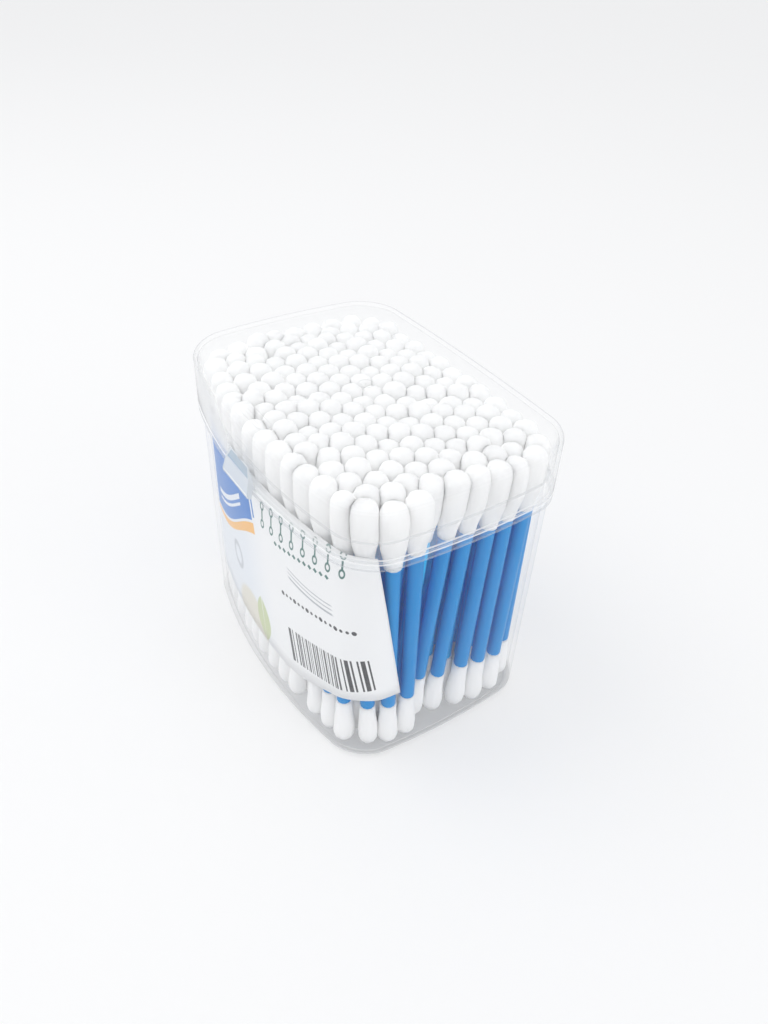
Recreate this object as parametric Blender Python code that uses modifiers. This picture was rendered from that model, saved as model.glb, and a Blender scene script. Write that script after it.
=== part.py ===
# Tub of cotton swabs: a clear moulded tub with a flip-top lid, a paper label that stands inside
# the front wall, and double-ended swabs that stand upright, pressed together.
#
# Frame: metres, +Z up, origin at the centre of the underside. The front, with the thumb tab and
# the label, faces -Y. The long sides run along X, and the lid's hinge is at the back, +Y.
import math

import bmesh
import bpy
import numpy as np
from mathutils import Matrix, Vector

# Plan of the tub at its widest, which the lid's skirt and the flange share
LENGTH = 0.0870
WIDTH = 0.0635
BOW_FRONT = 0.0060
BOW_BACK = 0.0013
BOW_SIDE = 0.0021
FRONT_CORNER_RADIUS = 0.0087
BACK_CORNER_RADIUS = 0.0100

# Heights
HEIGHT = 0.0800
SKIRT_HEIGHT = 0.0137
FLANGE_HEIGHT = 0.0020
RIM_HEIGHT = 0.0037
SEAM_GAP = 0.0003

# Walls of the mouldings
WALL = 0.0011
FLOOR = 0.0010
WALL_DRAFT = 0.0004
BASE_EDGE_RADIUS = 0.0020
INNER_EDGE_RADIUS = 0.0010
FLANGE_REACH = 0.0009
RIM_WALL = 0.0008
RIM_CLEARANCE = 0.0006
SHOULDER_HEIGHT = 0.0015
LID_WALL = 0.0009
LID_TOP = 0.0010
LID_EDGE_RADIUS = 0.0015

# Thumb tab, a lip that hangs from the lid's lower edge in front of the flange
TAB_LENGTH = 0.0175
TAB_DROP = 0.0022
TAB_RISE = 0.0018
TAB_REACH = 0.0021
TAB_THICKNESS = 0.0008
TAB_CLEARANCE = 0.0004

# Hinge at the back: one half-round rib on the lid and one on the flange, with the film between
HINGE_LENGTH = 0.0280
HINGE_RIB_RADIUS = 0.0009
HINGE_FILM = 0.0001

# Swabs, as long as the closed tub holds with clear space above their heads
HEAD_CLEARANCE = 0.0020
TIP_LENGTH = 0.0150
TIP_DIAMETER = 0.0052
TIP_END_DIAMETER = 0.0030
TIP_WIDEST = 0.0048
STICK_DIAMETER = 0.0030
CONTACT_HEIGHT = 0.0022
SWAB_GAP = 0.0003

# Label, a sheet of paper between the front wall and the swabs
LABEL_THICKNESS = 0.00025
LABEL_GAP = 0.0003
LABEL_TOP_DROP = 0.0008
LABEL_BOTTOM = 0.0125
LABEL_CORNER_RISE = 0.0080
LABEL_LEFT = 0.0440
LABEL_RIGHT_TOP = 0.0415
LABEL_RIGHT_BOTTOM = 0.0490

# Fineness of the curved outlines
CORNER_STEPS = 24
SIDE_STEPS = 16
LOFT_STRIDE = 4
ARC_STEPS = 3
RING_SWAB_SIDES = 8
CORE_SWAB_SIDES = 6
LABEL_COLUMNS = 24

SEAM = HEIGHT - SKIRT_HEIGHT
FLANGE_TOP = SEAM - SEAM_GAP
FLANGE_BOTTOM = FLANGE_TOP - FLANGE_HEIGHT
RIM_TOP = SEAM + RIM_HEIGHT
RIM_OUTER = LID_WALL + RIM_CLEARANCE
RIM_INNER = RIM_OUTER + RIM_WALL
WALL_INNER = FLANGE_REACH + WALL
SWAB_BASE = FLOOR + SWAB_GAP
SWAB_LENGTH = HEIGHT - LID_TOP - HEAD_CLEARANCE - SWAB_BASE
RING_INSET = max(RIM_INNER, WALL_INNER + WALL_DRAFT) + SWAB_GAP + TIP_DIAMETER / 2
LABEL_INSET = RIM_INNER + LABEL_GAP
LABEL_TOP = FLANGE_TOP - LABEL_TOP_DROP
HINGE_Y = WIDTH / 2 + HINGE_RIB_RADIUS + HINGE_FILM
HINGE_Z = SEAM - SEAM_GAP / 2


def clear_scene():
    for thing in list(bpy.data.objects):
        bpy.data.objects.remove(thing, do_unlink=True)


def make_collection(name):
    collection = bpy.data.collections.new(name)
    bpy.context.scene.collection.children.link(collection)
    return collection


def make_material(name, colour, roughness, transmission=0.0):
    material = bpy.data.materials.new(name)
    material.use_nodes = True
    shader = material.node_tree.nodes["Principled BSDF"]
    shader.inputs["Base Color"].default_value = (*colour, 1.0)
    shader.inputs["Roughness"].default_value = roughness
    shader.inputs["Metallic"].default_value = 0.0
    shader.inputs["Transmission Weight"].default_value = transmission
    shader.inputs["IOR"].default_value = 1.49
    return material


def add_object(name, mesh, collection, materials):
    thing = bpy.data.objects.new(name, mesh)
    if not mesh.materials:
        for material in materials:
            mesh.materials.append(material)
    collection.objects.link(thing)
    return thing


def finish_mesh(bm, name):
    bmesh.ops.recalc_face_normals(bm, faces=bm.faces)
    mesh = bpy.data.meshes.new(name)
    bm.to_mesh(mesh)
    bm.free()
    mesh.shade_smooth()
    mesh.set_sharp_from_angle(angle=math.radians(35))
    return mesh


# Plan outline

def rounded_box():
    """Half-length of the corner box, its front and back edges, seen without the bows."""
    return LENGTH / 2 - BOW_SIDE, -WIDTH / 2 + BOW_FRONT, WIDTH / 2 - BOW_BACK


def straight_outline():
    """Points of a rounded rectangle, anticlockwise from the end of its right side."""
    half, front, back = rounded_box()
    corners = (
        (half, back, BACK_CORNER_RADIUS, 0),
        (-half, back, BACK_CORNER_RADIUS, 90),
        (-half, front, FRONT_CORNER_RADIUS, 180),
        (half, front, FRONT_CORNER_RADIUS, 270),
    )
    arcs = []
    for x, y, radius, start in corners:
        angles = np.radians(start + 90 * np.arange(CORNER_STEPS + 1) / CORNER_STEPS)
        centre = (x - math.copysign(radius, x), y - math.copysign(radius, y))
        arcs.append(np.stack([centre[0] + radius * np.cos(angles), centre[1] + radius * np.sin(angles)], axis=1))
    pieces = []
    for arc, following in zip(arcs, arcs[1:] + arcs[:1]):
        shares = np.arange(1, SIDE_STEPS)[:, None] / SIDE_STEPS
        pieces += [arc, arc[-1] + (following[0] - arc[-1]) * shares]
    return np.concatenate(pieces)


def plan_outline():
    """The outline with its bowed sides, and the outward normal at each point."""
    half, front, back = rounded_box()
    middle = (front + back) / 2
    depth = (back - front) / 2
    points = straight_outline()
    across = points[:, 0] / half
    along = (points[:, 1] - middle) / depth
    bow_y = np.where(along < 0, BOW_FRONT, BOW_BACK)
    bowed = points.copy()
    bowed[:, 0] += BOW_SIDE * (1 - along**2) * across
    bowed[:, 1] += bow_y * (1 - across**2) * along
    tangent = np.roll(bowed, -1, axis=0) - np.roll(bowed, 1, axis=0)
    tangent /= np.linalg.norm(tangent, axis=1)[:, None]
    normals = np.stack([tangent[:, 1], -tangent[:, 0]], axis=1)
    return bowed, normals


def inset_outline(inset):
    points, normals = plan_outline()
    return points - normals * inset


def loft(sections, name):
    """A closed solid through outlines of equal count, each an inset and a height."""
    bm = bmesh.new()
    rings = []
    for inset, height in sections:
        outline = inset_outline(inset)[::LOFT_STRIDE]
        rings.append([bm.verts.new((x, y, height)) for x, y in outline])
    for lower, upper in zip(rings, rings[1:]):
        for index in range(len(lower)):
            after = (index + 1) % len(lower)
            bm.faces.new((lower[index], lower[after], upper[after], upper[index]))
    bm.faces.new(rings[0])
    bm.faces.new(rings[-1])
    return finish_mesh(bm, name)


def quarter_arc(inset, height, radius, start, sweep):
    """Section points of a quarter round about its centre, from one angle through the sweep."""
    points = []
    for step in range(ARC_STEPS + 1):
        angle = math.radians(start + sweep * step / ARC_STEPS)
        points.append((inset + radius * math.cos(angle), height + radius * math.sin(angle)))
    return points


# Mouldings

def tub_mesh():
    foot = FLANGE_REACH + WALL_DRAFT
    inner_foot = WALL_INNER + WALL_DRAFT
    sections = quarter_arc(foot + BASE_EDGE_RADIUS, BASE_EDGE_RADIUS, BASE_EDGE_RADIUS, -90, -90) + [
        (FLANGE_REACH, FLANGE_BOTTOM),
        (0.0, FLANGE_BOTTOM),
        (0.0, FLANGE_TOP),
        (RIM_OUTER, FLANGE_TOP),
        (RIM_OUTER, RIM_TOP),
        (RIM_INNER, RIM_TOP),
        (RIM_INNER, FLANGE_BOTTOM),
        (WALL_INNER, FLANGE_BOTTOM - SHOULDER_HEIGHT),
        (inner_foot, FLOOR + INNER_EDGE_RADIUS),
        (inner_foot + INNER_EDGE_RADIUS, FLOOR),
    ]
    return loft(sections, "tub")


def lid_mesh():
    ceiling = HEIGHT - LID_TOP
    sections = quarter_arc(LID_EDGE_RADIUS, HEIGHT - LID_EDGE_RADIUS, LID_EDGE_RADIUS, 90, 90) + [
        (0.0, SEAM),
        (LID_WALL, SEAM),
        (LID_WALL, ceiling - INNER_EDGE_RADIUS),
        (LID_WALL + INNER_EDGE_RADIUS, ceiling),
    ]
    return loft(sections, "lid")


def thumb_tab_mesh():
    """A bent lip: its root is inside the skirt, its free edge hangs clear of the flange."""
    face = -WIDTH / 2
    root = face + LID_WALL / 2
    profile = (
        (root, SEAM + TAB_RISE),
        (face, SEAM + TAB_RISE),
        (face - TAB_REACH, SEAM - TAB_DROP + TAB_THICKNESS),
        (face - TAB_REACH, SEAM - TAB_DROP),
        (face - TAB_REACH + TAB_THICKNESS, SEAM - TAB_DROP),
        (face - TAB_CLEARANCE, SEAM + SEAM_GAP),
        (root, SEAM + SEAM_GAP),
    )
    bm = bmesh.new()
    side = [bm.verts.new((-TAB_LENGTH / 2, y, z)) for y, z in profile]
    cap = bm.faces.new(side)
    grown = bmesh.ops.extrude_face_region(bm, geom=[cap])
    moved = [part for part in grown["geom"] if isinstance(part, bmesh.types.BMVert)]
    bmesh.ops.translate(bm, verts=moved, vec=(TAB_LENGTH, 0, 0))
    for vert in bm.verts:
        if vert.co.y < face - TAB_REACH / 2:
            vert.co.x -= math.copysign(TAB_REACH / 2, vert.co.x)
    return finish_mesh(bm, "thumb_tab_form")


def hinge_rib(name, height):
    bpy.ops.mesh.primitive_cylinder_add(
        vertices=12, radius=HINGE_RIB_RADIUS, depth=HINGE_LENGTH, location=(0, WIDTH / 2, height),
        rotation=(0, math.pi / 2, 0),
    )
    rib = bpy.context.object
    rib.name = name
    return rib


def join_solid(body, tool, cutters):
    for collection in list(tool.users_collection):
        collection.objects.unlink(tool)
    cutters.objects.link(tool)
    tool.hide_render = True
    tool.display_type = "WIRE"
    union = body.modifiers.new(tool.name, "BOOLEAN")
    union.operation = "UNION"
    union.object = tool


# Swabs

def tip_profile(radius, band):
    """Distances from the swab's end and radii: a blunt end, the widest part, and the stick."""
    return (
        (0.0, TIP_END_DIAMETER / 2),
        (TIP_WIDEST - band / 2, radius),
        (TIP_WIDEST + band / 2, radius),
        (TIP_LENGTH, STICK_DIAMETER / 2),
    )


def swab_mesh(name, radius, sides, band, turn):
    """One swab as a turned solid, with its cotton tips and its stick."""
    tip = tip_profile(radius, band)
    rings = [(reach, size) for reach, size in tip]
    rings += [(SWAB_LENGTH - reach, size) for reach, size in reversed(tip)]
    bm = bmesh.new()
    corners = []
    for height, size in rings:
        at = Vector((size * math.cos(turn), size * math.sin(turn), SWAB_BASE + height))
        corners.append(bm.verts.new(at))
    edges = [bm.edges.new(pair) for pair in zip(corners, corners[1:])]
    bmesh.ops.spin(
        bm, geom=corners + edges, cent=(0, 0, 0), axis=(0, 0, 1), angle=2 * math.pi, steps=sides, use_merge=True,
    )
    for height in (SWAB_BASE, SWAB_BASE + SWAB_LENGTH):
        rim = [edge for edge in bm.edges if all(abs(v.co.z - height) < 1e-6 for v in edge.verts)]
        bmesh.ops.contextual_create(bm, geom=rim)
    paint_swab(bm)
    return finish_mesh(bm, name)


def paint_swab(bm):
    """Material 1, cotton, on the tips, and material 0, the blue plastic, on the stick."""
    for face in bm.faces:
        height = face.calc_center_median().z - SWAB_BASE
        on_tip = height < TIP_LENGTH or height > SWAB_LENGTH - TIP_LENGTH
        face.material_index = 1 if on_tip else 0


def walk_outline(points, count, chord):
    """Places count points a chord apart along a closed outline. Returns them and the way left."""
    steps = np.linalg.norm(np.roll(points, -1, axis=0) - points, axis=1)
    reach = np.concatenate([[0.0], np.cumsum(steps)])
    total = reach[-1]
    closed = np.concatenate([points, points[:1]])

    def at(distance):
        wrapped = distance % total
        return np.array([np.interp(wrapped, reach, closed[:, axis]) for axis in (0, 1)])

    fine = min(steps[steps > 0].min(), chord / 40)
    places = [at(0.0)]
    distance = 0.0
    while len(places) <= count:
        here = places[-1]
        distance += chord
        while np.linalg.norm(at(distance) - here) < chord:
            distance += fine
        places.append(at(distance))
    return np.array(places[:count]), total - distance


def ring_places():
    """Centres of the outer ring of swabs: equal chords along the wall, a tip and a gap apart."""
    outline = inset_outline(RING_INSET)
    least = TIP_DIAMETER + SWAB_GAP
    length = np.linalg.norm(np.roll(outline, -1, axis=0) - outline, axis=1).sum()
    count = int(length / least)
    while walk_outline(outline, count, least)[1] < 0:
        count -= 1
    low, high = least, length / count
    for _ in range(20):
        middle = (low + high) / 2
        if walk_outline(outline, count, middle)[1] < 0:
            high = middle
        else:
            low = middle
    return walk_outline(outline, count, low)[0]


def core_places():
    """Grid indices and centres of the inner swabs, in close-packed rows inside the outer ring."""
    outline = inset_outline(RING_INSET)
    pitch = TIP_DIAMETER
    row_step = pitch * math.sqrt(3) / 2
    reach = TIP_DIAMETER / 2 + pitch / math.sqrt(3) + SWAB_GAP
    places = {}
    rows = int(WIDTH / 2 / row_step)
    columns = int((LENGTH + WIDTH) / 2 / pitch)
    for row in range(-rows, rows + 1):
        for column in range(-columns, columns + 1):
            x = (column + row / 2) * pitch
            y = row * row_step
            clear = np.linalg.norm(outline - (x, y), axis=1).min() > reach
            if clear and is_inside(x, y, outline):
                places[column, row] = (x, y)
    return places


def is_inside(x, y, outline):
    """Whether a point lies inside a closed outline, by the crossings of a ray along +X."""
    here = outline
    there = np.roll(outline, -1, axis=0)
    crosses = (here[:, 1] > y) != (there[:, 1] > y)
    rise = np.where(crosses, there[:, 1] - here[:, 1], 1.0)
    at = here[:, 0] + (y - here[:, 1]) / rise * (there[:, 0] - here[:, 0])
    return bool(np.count_nonzero(crosses & (at > x)) % 2)


def core_mesh():
    """The inner swabs, whose cotton tips press flat against each other where they are widest."""
    pitch = TIP_DIAMETER
    radius = pitch / math.sqrt(3)
    single = swab_mesh("core_swab", radius, CORE_SWAB_SIDES, CONTACT_HEIGHT, math.radians(30))
    places = core_places()
    neighbours = ((1, 0), (0, 1), (-1, 1), (-1, 0), (0, -1), (1, -1))
    bm = bmesh.new()
    for (column, row), (x, y) in places.items():
        before = set(bm.faces)
        bm.from_mesh(single)
        faces = [face for face in bm.faces if face not in before]
        verts = {vert for face in faces for vert in face.verts}
        bmesh.ops.translate(bm, verts=list(verts), vec=(x, y, 0))
        pressed = []
        for turn, (across, along) in enumerate(neighbours):
            if (column + across, row + along) in places:
                side = Vector((math.cos(math.radians(60 * turn)), math.sin(math.radians(60 * turn)), 0))
                pressed += [face for face in faces if face.normal.dot(side) > 0.999 and is_contact(face)]
        bmesh.ops.delete(bm, geom=pressed, context="FACES")
    bmesh.ops.remove_doubles(bm, verts=bm.verts, dist=1e-6)
    bpy.data.meshes.remove(single)
    return finish_mesh(bm, "swab_core")


def is_contact(face):
    height = face.calc_center_median().z - SWAB_BASE
    return min(height, SWAB_LENGTH - height) < TIP_WIDEST + CONTACT_HEIGHT


# Label

def front_path(inset):
    """The outline from the back's middle round the front, and each point's way from the front's middle."""
    outline = inset_outline(inset)
    middle = np.abs(outline[:, 0])
    back = int(np.argmin(middle + WIDTH * (outline[:, 1] < 0)))
    path = np.roll(outline, -back, axis=0)
    steps = np.linalg.norm(np.diff(path, axis=0), axis=1)
    way = np.concatenate([[0.0], np.cumsum(steps)])
    front = int(np.argmin(np.abs(path[:, 0]) + WIDTH * (path[:, 1] > 0)))
    return path, way - way[front]


def label_mesh():
    """The label's outer face, an open strip along the wall with a slanted end and a curved foot."""
    path, way = front_path(LABEL_INSET)

    def corner(bm, distance, height):
        x, y = (np.interp(distance, way, path[:, axis]) for axis in (0, 1))
        return bm.verts.new((x, y, height))

    bm = bmesh.new()
    pairs = []
    for step in range(LABEL_COLUMNS + 1):
        share = step / LABEL_COLUMNS
        low = -LABEL_LEFT + (LABEL_RIGHT_BOTTOM + LABEL_LEFT) * share
        high = -LABEL_LEFT + (LABEL_RIGHT_TOP + LABEL_LEFT) * share
        rise = LABEL_CORNER_RISE * max(0.0, low / LABEL_RIGHT_BOTTOM) ** 3
        pairs.append((corner(bm, low, LABEL_BOTTOM + rise), corner(bm, high, LABEL_TOP)))
    for here, there in zip(pairs, pairs[1:]):
        bm.faces.new((here[0], there[0], there[1], here[1]))
    mesh = bpy.data.meshes.new("label")
    bm.to_mesh(mesh)
    bm.free()
    return mesh


def build():
    clear_scene()
    parts = make_collection("cotton_swab_tub")
    cutters = make_collection("forms")
    clear = make_material("clear_plastic", (0.93, 0.95, 0.97), 0.08, 1.0)
    paper = make_material("label_paper", (0.86, 0.87, 0.88), 0.6)
    blue = make_material("stick_blue", (0.04, 0.25, 0.68), 0.35)
    cotton = make_material("cotton", (0.88, 0.87, 0.84), 0.95)

    tub = add_object("tub", tub_mesh(), parts, [clear])
    join_solid(tub, hinge_rib("flange_rib_form", FLANGE_TOP - HINGE_RIB_RADIUS), cutters)

    axis = bpy.data.objects.new("lid_hinge", None)
    axis.location = (0, HINGE_Y, HINGE_Z)
    parts.objects.link(axis)
    lid = add_object("lid", lid_mesh(), parts, [clear])
    lid.data.transform(Matrix.Translation((0, -HINGE_Y, -HINGE_Z)))
    lid.parent = axis
    join_solid(lid, add_object("thumb_tab_form", thumb_tab_mesh(), parts, [clear]), cutters)
    join_solid(lid, hinge_rib("lid_rib_form", SEAM + HINGE_RIB_RADIUS), cutters)

    label = add_object("label", label_mesh(), parts, [paper])
    sheet = label.modifiers.new("paper", "SOLIDIFY")
    sheet.thickness = LABEL_THICKNESS
    sheet.offset = -1.0

    single = swab_mesh("swab", TIP_DIAMETER / 2, RING_SWAB_SIDES, CONTACT_HEIGHT, 0.0)
    for number, (x, y) in enumerate(ring_places(), start=1):
        swab = add_object(f"swab_{number:02d}", single, parts, [blue, cotton])
        swab.location = (x, y, 0)
    add_object("swab_core", core_mesh(), parts, [blue, cotton])


build()
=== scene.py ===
# A tub of cotton swabs: clear mouldings with real wall thickness, a printed paper label, and
# cotton-tipped swabs that lean a little, as they do in a real tub. Lengths are in metres.
import math
import random

import bmesh
import bpy
import numpy as np
from mathutils import Matrix, Vector, noise


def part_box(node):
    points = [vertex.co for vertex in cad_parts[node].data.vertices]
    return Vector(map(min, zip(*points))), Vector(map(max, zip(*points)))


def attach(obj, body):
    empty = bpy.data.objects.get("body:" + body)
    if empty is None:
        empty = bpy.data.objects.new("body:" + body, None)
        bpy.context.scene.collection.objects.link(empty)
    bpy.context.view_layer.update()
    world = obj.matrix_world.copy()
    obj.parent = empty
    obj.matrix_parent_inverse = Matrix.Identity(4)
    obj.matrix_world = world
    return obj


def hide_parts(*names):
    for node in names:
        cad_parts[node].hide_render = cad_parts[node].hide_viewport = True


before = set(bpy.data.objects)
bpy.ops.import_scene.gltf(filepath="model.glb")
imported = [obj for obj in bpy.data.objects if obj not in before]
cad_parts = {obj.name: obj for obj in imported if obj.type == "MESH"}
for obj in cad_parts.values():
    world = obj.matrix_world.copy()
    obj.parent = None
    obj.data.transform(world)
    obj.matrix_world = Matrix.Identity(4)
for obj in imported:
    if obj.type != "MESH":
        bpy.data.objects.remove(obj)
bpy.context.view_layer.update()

# Plan of the tub, as in the CAD
LENGTH = 0.0870
WIDTH = 0.0635
BOW_FRONT = 0.0060
BOW_BACK = 0.0013
BOW_SIDE = 0.0021
FRONT_CORNER_RADIUS = 0.0087
BACK_CORNER_RADIUS = 0.0100
CORNER_STEPS = 24
SIDE_STEPS = 16

# Heights and walls
HEIGHT = 0.0800
SEAM = 0.0663
FLANGE_TOP = 0.0660
FLANGE_BOTTOM = 0.0640
RIM_TOP = 0.0700
FLOOR = 0.0010
WALL_DRAFT = 0.0004
FLANGE_REACH = 0.0009
WALL_INNER = 0.0020
RIM_OUTER = 0.0015
RIM_INNER = 0.0023
SHOULDER_HEIGHT = 0.0015
BASE_EDGE_RADIUS = 0.0020
INNER_EDGE_RADIUS = 0.0010
LID_WALL = 0.0009
LID_TOP = 0.0010
LID_EDGE_RADIUS = 0.0015
SOFT_EDGE = 0.00025

# Steps in the rounded edges, and how upright a face's normal is where it takes a flat or a round finish
BASE_BEND_STEPS = 7
SOFT_BEND_STEPS = 3
WALL_BEND_STEPS = 5
LID_BEND_STEPS = 8
CEILING_BEND_STEPS = 6
FLAT_RISE = 0.3
ROUND_RISE = 0.05
SHARP_ANGLE = math.radians(40)

# Thumb tab and hinge
TAB_LENGTH = 0.0144
TAB_DROP = 0.0022
TAB_RISE = 0.0048
TAB_ROOT_LENGTH = 0.0090
TAB_SLOT_SHARE = 0.48
TAB_SLOT_BORDER = 0.0006
TAB_SLOT_DEPTH = 0.00015
TAB_REACH = 0.0016
TAB_THICKNESS = 0.0008
TAB_CLEARANCE = 0.0004
TAB_LIP_SHARE = 0.6
TAB_EDGE_RADIUS = 0.00018
TAB_EDGE_STEPS = 2
SEAM_GAP = 0.0003
HINGE_LENGTH = 0.0280
HINGE_RIB_RADIUS = 0.0009
RIB_SEGMENTS = 24

# Marks moulded into the lid
GATE_PLACE = (-0.0023, 0.0025)
GATE_RADIUS = 0.0019
GRIP_PLACE = (-0.0020, -0.0264)
GRIP_LENGTH = 0.0120
GRIP_WIDTH = 0.0034
GRIP_RIBS = 3
GRIP_RIB_LENGTH = GRIP_LENGTH - 1.4 * GRIP_WIDTH
ARCH_PLACE = (0.0018, 0.0755)
ARCH_LENGTH = 0.0064
ARCH_WIDTH = 0.0020
MARK_WIDTH = 0.00025
MARK_HEIGHT = 0.00012
MARK_STEPS = 40
DOT_RADIUS = 2 * MARK_HEIGHT
DOT_SEGMENTS = 12
DOT_RINGS = 8

# Swabs
SWAB_BASE = 0.0011
HEAD_LENGTH = 0.0165
FOOT_LENGTH = 0.0142
STICK_RADIUS = 0.0018
HEAD_HEIGHT = 0.0776
RING_INSET = 0.0053
INNER_PITCH = 0.0054
INNER_SWABS = 138
FENCE_INSET = 0.0034
FENCE_STEP = 0.0025
LIFT_STEP = 0.0003
HEAD_GAP = 0.0005
STICK_REACH = 0.9
SWAB_SEGMENTS = 12

# How the swabs vary: the seeds, how far a ring swab sways, how far heads stand above or below each
# other, and how the inner ones are laid out, shaken and pushed apart
SWAB_SEED = 7
SHAKE_SEED = 11
SWAY = 0.0004
FOOT_SWAY = 2
HEAD_SPREAD = 0.0004
MOST_SPREAD = 0.0010
GRID_ROWS = 8
GRID_COLUMNS = 12
HEAD_SHAKE = 0.0007
FOOT_SHAKE = 0.0011
SETTLE_ROUNDS = 80
SETTLE_SHARE = 0.35

# How the cotton tips vary: ranges of girth, flatness and length, then the size and depth of their
# lumps and of the soft drop at their ends, which both fade out over a length towards the neck
TIP_GIRTH = (1.00, 1.07)
TIP_FLATNESS = (0.96, 1.02)
TIP_STRETCH = (0.92, 1.04)
SEED_RANGE = 50
LUMP_SIZE = 0.0022
LUMP_DEPTH = 0.07
DROOP_SIZE = 0.0035
DROOP_DEPTH = 0.00035
FADE_LENGTH = 0.0050

# The ring swabs behind the right wall, as they lean there: node, how far along Y the head and
# the foot stand, how deep each is behind the wall's outer face, and how far the swab is lifted
LEANING = {
    "swab_35": (-0.0208, -0.0182, 0.0054, 0.0060, 0.0004),
    "swab_36": (-0.0155, -0.0137, 0.0050, 0.0050, 0.0000),
    "swab_37": (-0.0098, -0.0086, 0.0050, 0.0050, 0.0004),
    "swab_38": (0.0003, -0.0044, 0.0064, 0.0085, 0.0014),
    "swab_39": (0.0054, 0.0010, 0.0060, 0.0075, 0.0010),
    "swab_40": (0.0110, 0.0074, 0.0055, 0.0060, 0.0006),
    "swab_41": (0.0155, 0.0128, 0.0052, 0.0052, 0.0000),
    "swab_01": (0.0212, 0.0186, 0.0050, 0.0052, 0.0000),
}

# Height and radius along a cotton tip in millimetres, from its end to its neck. The heads are
# pressed together into near cylinders, and the feet are looser drops.
HEAD_PROFILE = (
    (0.0, 0.0), (0.28, 1.50), (0.9, 2.34), (2.0, 2.84), (3.6, 3.02), (8.6, 3.00), (10.8, 2.82), (12.8, 2.38),
    (14.6, 2.08), (16.4, 1.98), (16.5, 1.60),
)
FOOT_PROFILE = (
    (0.0, 0.0), (0.2, 1.32), (0.8, 2.08), (1.8, 2.48), (3.2, 2.58), (5.0, 2.50), (7.4, 2.28), (9.8, 2.06),
    (12.4, 2.00), (14.1, 1.97), (14.2, 1.60),
)

# Label
LABEL_INSET = 0.0026
LABEL_THICKNESS = 0.00025
LABEL_TOP = 0.0652
LABEL_BOTTOM = 0.0125
LABEL_CORNER_RISE = 0.0080
LABEL_BOW_START = 0.0110
LABEL_BOW_END = 0.0410
LABEL_LEFT = 0.0440
LABEL_RIGHT_TOP = 0.0415
LABEL_RIGHT_BOTTOM = 0.0490

# The label's print: metres and millimetres for the whole flat map, how far its rows climb for each one
# along, as the sheet stands a little askew, the place about which they turn, and the field's upper edge
FLAT_WIDTH = 0.1
PRINT_SCALE = 100.0
PRINT_LEAN = 0.19
PRINT_CENTRE = (16.0, 20.0)
FIELD_TOP = 62.3

# Places of the finishes in the mouldings' material slots
CLEAR_FINISH, HIGHLIGHT_FINISH, SHADE_LINE_FINISH, LEDGE_FINISH, ROUND_SHADE_FINISH = range(5)
FLOOR_SHADOW_FINISH, FOOT_HIGHLIGHT_FINISH, TAB_FINISH, SLOT_SHADE_FINISH, MARK_FINISH = range(5, 10)

# Sockets of a Mix node for colours
MIX_SHARE, MIX_UNDER, MIX_OVER, MIX_RESULT = 0, 6, 7, 2

# Clear plastic: how fast its pale edge, which is haze with a painted reflection of the white surroundings,
# and its grey contour of painted shade fade with the angle, its clouds, and where the floor's painted shadow
# deepens from left to right
EDGE_POWER = 4.5
CONTOUR_POWER = 9.0
CLOUD_SCALE = 90.0
MOST_CLOUD = 0.015
PAINTED_SHADOW_MIDDLE = 0.012
PAINTED_SHADOW_FADE = 0.05

# Colours
# Painted shade for the contour where clear plastic turns edge-on
PAINTED_CONTOUR_SHADE = (0.36, 0.37, 0.39)
BLUE_INK = (0.010, 0.190, 0.610)
ORANGE_INK = (0.940, 0.500, 0.120)
GREEN_INK = (0.055, 0.170, 0.155)
GREY_INK = (0.340, 0.360, 0.400)
DARK_INK = (0.055, 0.056, 0.062)
PALE_BLUE_INK = (0.760, 0.810, 0.880)
BEIGE_INK = (0.760, 0.720, 0.610)
LEAF_INK = (0.580, 0.650, 0.380)

# Camera, fitted to the tub's outlines in the photograph
CAMERA_PLACE = (0.13957, -0.08836, 0.17434)
CAMERA_AZIMUTH = 55.39
CAMERA_ELEVATION = 38.48
CAMERA_ROLL = 2.90
CAMERA_LENS = 28.52

# Lamps: name, place, size and power. They all point at the tub's middle.
LAMPS = (
    ("left_high", (-0.30, -0.35, 0.65), 0.55, 1.35),
    ("right_side", (0.60, 0.28, 0.30), 0.30, 0.45),
    ("overhead", (0.05, 0.02, 0.95), 0.80, 0.85),
)
LAMP_AIM = (0, 0, 0.04)
SKY_STRENGTH = 0.91
FLOOR_SIZE = 3.0
FLOOR_GLOW = 0.46
TRANSPARENT_BOUNCES = 24
DIFFUSE_BOUNCES = 10

MM = 0.001
TINY = 1e-6
MERGE_DISTANCE = 1e-7
NO_DISTANCE = 1e-9
SOFT_STEP = 0.12

chance = random.Random(SWAB_SEED)


# Node maths

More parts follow.
